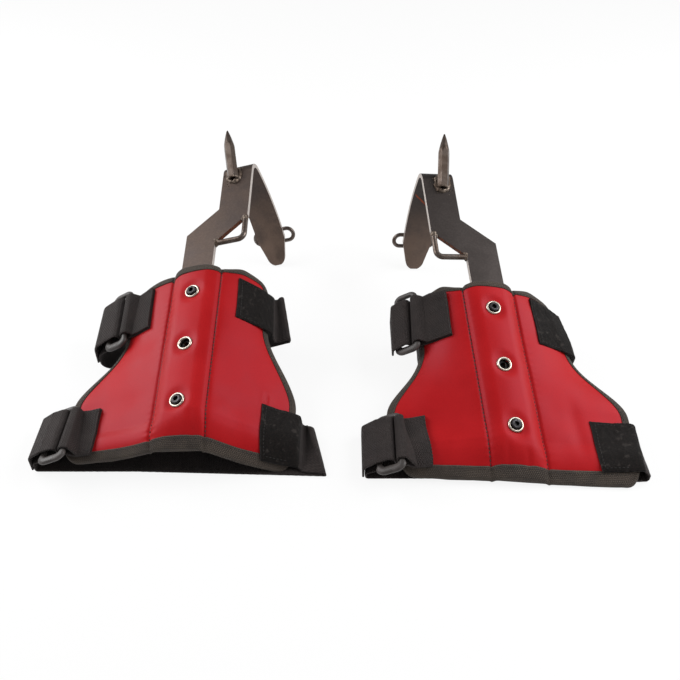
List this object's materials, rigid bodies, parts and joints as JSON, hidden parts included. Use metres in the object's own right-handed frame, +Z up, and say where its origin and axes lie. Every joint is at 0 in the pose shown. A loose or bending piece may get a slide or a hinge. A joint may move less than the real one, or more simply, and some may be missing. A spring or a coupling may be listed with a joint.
{
  "type": "tree climbing spikes",
  "caption": "Tree climbing spikes lying face up: flat steel shanks with welded gaffs, strap loops and folded foot plates, in red padded leg cuffs with ring straps.",
  "frame": {"origin": "centre of the footprint of the pair, on the floor it lies on", "axes": "+X from the left-hand unit to the right-hand one, +Y from calf end to gaff, +Z up"},
  "size_m": [0.5048, 0.3248, 0.1468],
  "materials": {
    "bare_steel": "bare flat bar, dark, lightly rusted",
    "gaff_steel": "ground steel",
    "weld_bead": "rough weld",
    "loop_steel": "round bar",
    "red_cover": "smooth coated leather cloth",
    "foam": "closed-cell foam",
    "black_lining": "knitted lining",
    "black_tape": "woven binding tape",
    "nickel": "bright nickel plate",
    "screw_steel": "blackened",
    "black_webbing": "woven strap with hook and loop",
    "black_plastic": "moulded"
  },
  "bodies": {
    "left_unit": {"left_shank": "bare_steel", "left_stirrup": "bare_steel", "left_gaff": "gaff_steel", "left_gaff_weld": "weld_bead", "left_side_loop": "loop_steel", "left_sole_loop": "loop_steel", "left_loop_welds": "weld_bead", "left_eyelets": "nickel", "left_eyelet_washers": "nickel", "left_screws": "screw_steel", "left_cover": "red_cover", "left_foam": "foam", "left_lining": "black_lining", "left_binding": "black_tape", "left_calf_tab": "black_webbing", "left_calf_strap": "black_webbing", "left_ankle_tab": "black_webbing", "left_ankle_strap": "black_webbing"},
    "right_unit": {"right_shank": "bare_steel", "right_stirrup": "bare_steel", "right_gaff": "gaff_steel", "right_gaff_weld": "weld_bead", "right_side_loop": "loop_steel", "right_sole_loop": "loop_steel", "right_loop_welds": "weld_bead", "right_eyelets": "nickel", "right_eyelet_washers": "nickel", "right_screws": "screw_steel", "right_cover": "red_cover", "right_foam": "foam", "right_lining": "black_lining", "right_binding": "black_tape", "right_calf_tab": "black_webbing", "right_calf_strap": "black_webbing", "right_ankle_tab": "black_webbing", "right_ankle_strap": "black_webbing"},
    "left_calf_ring": {"left_calf_ring": "black_plastic"},
    "left_calf_tail": {"left_calf_tail": "black_webbing"},
    "left_ankle_ring": {"left_ankle_ring": "black_plastic"},
    "left_ankle_tail": {"left_ankle_tail": "black_webbing"},
    "right_calf_ring": {"right_calf_ring": "black_plastic"},
    "right_calf_tail": {"right_calf_tail": "black_webbing"},
    "right_ankle_ring": {"right_ankle_ring": "black_plastic"},
    "right_ankle_tail": {"right_ankle_tail": "black_webbing"}
  },
  "joints": [
    {"name": "right_unit_apart", "type": "slide", "parent": "left_unit", "child": "right_unit", "axis": [1, 0, 0], "range_m": [0, 0.12]},
    {"name": "left_calf_ring_rock", "type": "hinge", "parent": "left_unit", "child": "left_calf_ring", "pos_m": [-0.22114, -0.12632, 0.02648], "axis": [0, 0.9978, -0.0668], "range_deg": [-4, 4]},
    {"name": "left_calf_tail_peel", "type": "hinge", "parent": "left_unit", "child": "left_calf_tail", "pos_m": [-0.24136, -0.12632, 0.0253], "axis": [0, 0.9978, -0.0668], "range_deg": [0, 110]},
    {"name": "left_ankle_ring_rock", "type": "hinge", "parent": "left_unit", "child": "left_ankle_ring", "pos_m": [-0.19217, -0.01043, 0.0465], "axis": [0, 0.9757, 0.2191], "range_deg": [-4, 4]},
    {"name": "left_ankle_tail_peel", "type": "hinge", "parent": "left_unit", "child": "left_ankle_tail", "pos_m": [-0.21189, -0.01043, 0.04142], "axis": [0, 0.9757, 0.2191], "range_deg": [0, 110]},
    {"name": "right_calf_ring_rock", "type": "hinge", "parent": "right_unit", "child": "right_calf_ring", "pos_m": [0.05016, -0.13342, 0.02425], "axis": [0, 1, -0.0049], "range_deg": [-4, 4]},
    {"name": "right_calf_tail_peel", "type": "hinge", "parent": "right_unit", "child": "right_calf_tail", "pos_m": [0.02992, -0.13342, 0.02377], "axis": [0, 1, -0.0049], "range_deg": [0, 110]},
    {"name": "right_ankle_ring_rock", "type": "hinge", "parent": "right_unit", "child": "right_ankle_ring", "pos_m": [0.06871, -0.01901, 0.04928], "axis": [0, 0.9582, 0.286], "range_deg": [-4, 4]},
    {"name": "right_ankle_tail_peel", "type": "hinge", "parent": "right_unit", "child": "right_ankle_tail", "pos_m": [0.04961, -0.01901, 0.04172], "axis": [0, 0.9582, 0.286], "range_deg": [0, 110]}
  ]
}
